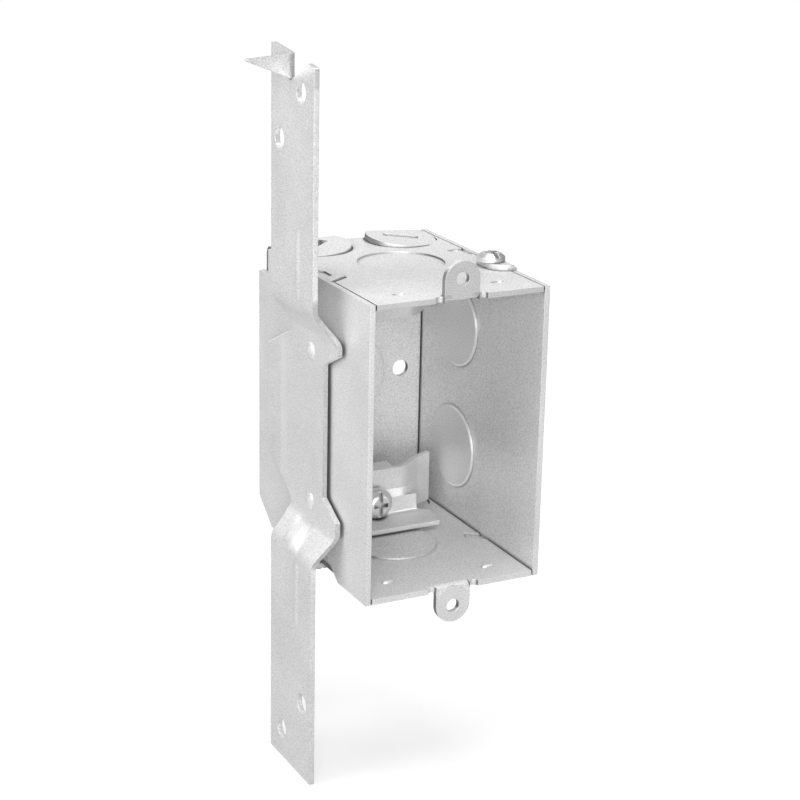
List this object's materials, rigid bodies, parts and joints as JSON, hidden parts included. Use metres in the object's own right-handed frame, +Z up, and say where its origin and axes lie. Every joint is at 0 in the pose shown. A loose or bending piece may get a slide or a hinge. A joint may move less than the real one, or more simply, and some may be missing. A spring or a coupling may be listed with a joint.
{
  "type": "new work outlet box",
  "caption": "Gangable pressed steel box for one wiring device, with a stamped bracket that nails to the side of a stud, cable clamps inside and conduit knockouts.",
  "frame": {"origin": "midway between the two device screw holes in the ears, on the front plane of the box", "axes": "+X to the right across the opening, away from the stud; +Y into the wall, towards the box's back; +Z up"},
  "size_m": [0.0673, 0.0667, 0.1849],
  "materials": {
    "body_steel": "satin zinc-coated sheet",
    "side_steel": "satin zinc-coated sheet",
    "bracket_steel": "satin zinc-coated sheet",
    "clamp_steel": "bright zinc-coated sheet",
    "screw_steel": "bright zinc plating"
  },
  "bodies": {
    "root": {"box_body": "body_steel", "left_side_plate": "side_steel", "right_side_plate": "side_steel", "mounting_bracket": "bracket_steel", "upper_cable_clamp": "clamp_steel", "lower_cable_clamp": "clamp_steel", "upper_clamp_screw": "screw_steel", "lower_clamp_screw": "screw_steel", "upper_side_screw": "screw_steel", "lower_side_screw": "screw_steel"}
  },
  "joints": []
}
